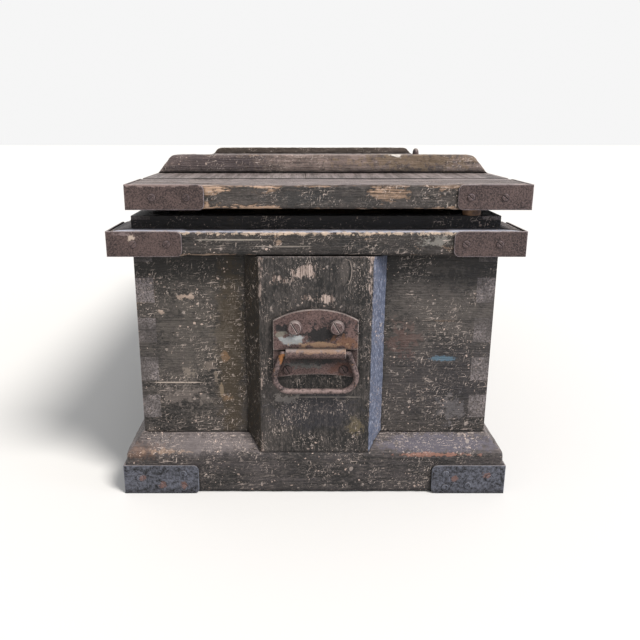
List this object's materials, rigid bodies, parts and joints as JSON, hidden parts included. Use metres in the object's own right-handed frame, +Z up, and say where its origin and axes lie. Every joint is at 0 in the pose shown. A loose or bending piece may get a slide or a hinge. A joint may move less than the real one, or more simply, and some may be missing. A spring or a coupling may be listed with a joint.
{
  "type": "wooden tool chest",
  "caption": "dark green wooden tool chest with bevelled plinth, collar, iron corner straps, bail handles, hinged lid, hasp and sliding till",
  "frame": {"origin": "on the floor, under the middle of the box between its end walls and between its front and back walls", "axes": "+Z up; +X towards the opening front, with the hinges at -X; Y along the chest, with the pictured end at -Y"},
  "size_m": [0.507, 1.1152, 0.428],
  "materials": {
    "green_wood": "worn dark green paint over old pine, scratched to bare wood on the edges",
    "worn_wood": "weathered grey-brown softwood with open grain and traces of paint",
    "bare_wood": "plain unpainted pine",
    "rusty_iron": "old wrought iron with dark brown rust",
    "dark_iron": "black japanned iron, worn blue-grey",
    "leather": "brown leather buttons"
  },
  "bodies": {
    "chest": {"end_wall_near_lower": "green_wood", "end_wall_near_upper": "green_wood", "end_wall_far_lower": "green_wood", "end_wall_far_upper": "green_wood", "front_wall_lower": "green_wood", "front_wall_upper": "green_wood", "back_wall_lower": "green_wood", "back_wall_upper": "green_wood", "floor_boards": "bare_wood", "floor_skids": "bare_wood", "plinth_near": "green_wood", "plinth_far": "green_wood", "plinth_front": "green_wood", "plinth_back": "green_wood", "collar_near": "green_wood", "collar_far": "green_wood", "collar_front": "green_wood", "collar_back": "green_wood", "stile_near": "green_wood", "stile_far": "green_wood", "lid_rest_pads": "leather", "collar_straps_near": "rusty_iron", "collar_straps_far": "rusty_iron", "base_straps_near": "dark_iron", "base_straps_far": "dark_iron", "collar_strap_screws": "rusty_iron", "base_strap_nails": "dark_iron", "handle_plate_near": "rusty_iron", "handle_plate_far": "rusty_iron", "handle_clip_near": "rusty_iron", "handle_clip_far": "rusty_iron", "handle_screws": "rusty_iron", "hinge_wall_leaves": "dark_iron", "hinge_pins": "dark_iron", "hinge_wall_screws": "dark_iron", "hasp_plate": "rusty_iron", "hasp_lower_pin": "rusty_iron", "hasp_screws": "rusty_iron", "till_runners": "bare_wood"},
    "lid": {"lid_board_front": "worn_wood", "lid_board_middle": "worn_wood", "lid_board_back": "worn_wood", "lid_clamp_near": "green_wood", "lid_clamp_far": "green_wood", "batten_near": "worn_wood", "batten_far": "worn_wood", "lid_straps_near": "rusty_iron", "lid_straps_far": "rusty_iron", "lid_strap_screws": "rusty_iron", "hinge_lid_leaves": "dark_iron", "hinge_lid_screws": "dark_iron", "lid_staple": "dark_iron"},
    "bail_near": {"bail_near": "rusty_iron"},
    "bail_far": {"bail_far": "rusty_iron"},
    "hasp_link": {"hasp_link": "rusty_iron", "hasp_upper_pin": "rusty_iron"},
    "hasp_leaf": {"hasp_leaf": "rusty_iron"},
    "till": {"till_sides": "bare_wood", "till_ends": "bare_wood", "till_bottom": "bare_wood"}
  },
  "joints": [
    {"name": "lid_hinge", "type": "hinge", "parent": "chest", "child": "lid", "pos_m": [-0.2275, 0, 0.3675], "axis": [0, -1, 0], "range_deg": [0, 130]},
    {"name": "bail_near_hinge", "type": "hinge", "parent": "chest", "child": "bail_near", "pos_m": [0, -0.55155, 0.197], "axis": [-1, 0, 0], "range_deg": [0, 160]},
    {"name": "bail_far_hinge", "type": "hinge", "parent": "chest", "child": "bail_far", "pos_m": [0, 0.55155, 0.197], "axis": [1, 0, 0], "range_deg": [0, 160]},
    {"name": "hasp_link_hinge", "type": "hinge", "parent": "chest", "child": "hasp_link", "pos_m": [0.252, 0, 0.343], "axis": [0, -1, 0], "range_deg": [0, 180]},
    {"name": "hasp_leaf_hinge", "type": "hinge", "parent": "hasp_link", "child": "hasp_leaf", "pos_m": [0.252, 0, 0.2795], "axis": [0, -1, 0], "range_deg": [0, 90]},
    {"name": "till_slide", "type": "slide", "parent": "chest", "child": "till", "axis": [0, 1, 0], "range_m": [0, 0.687]}
  ]
}
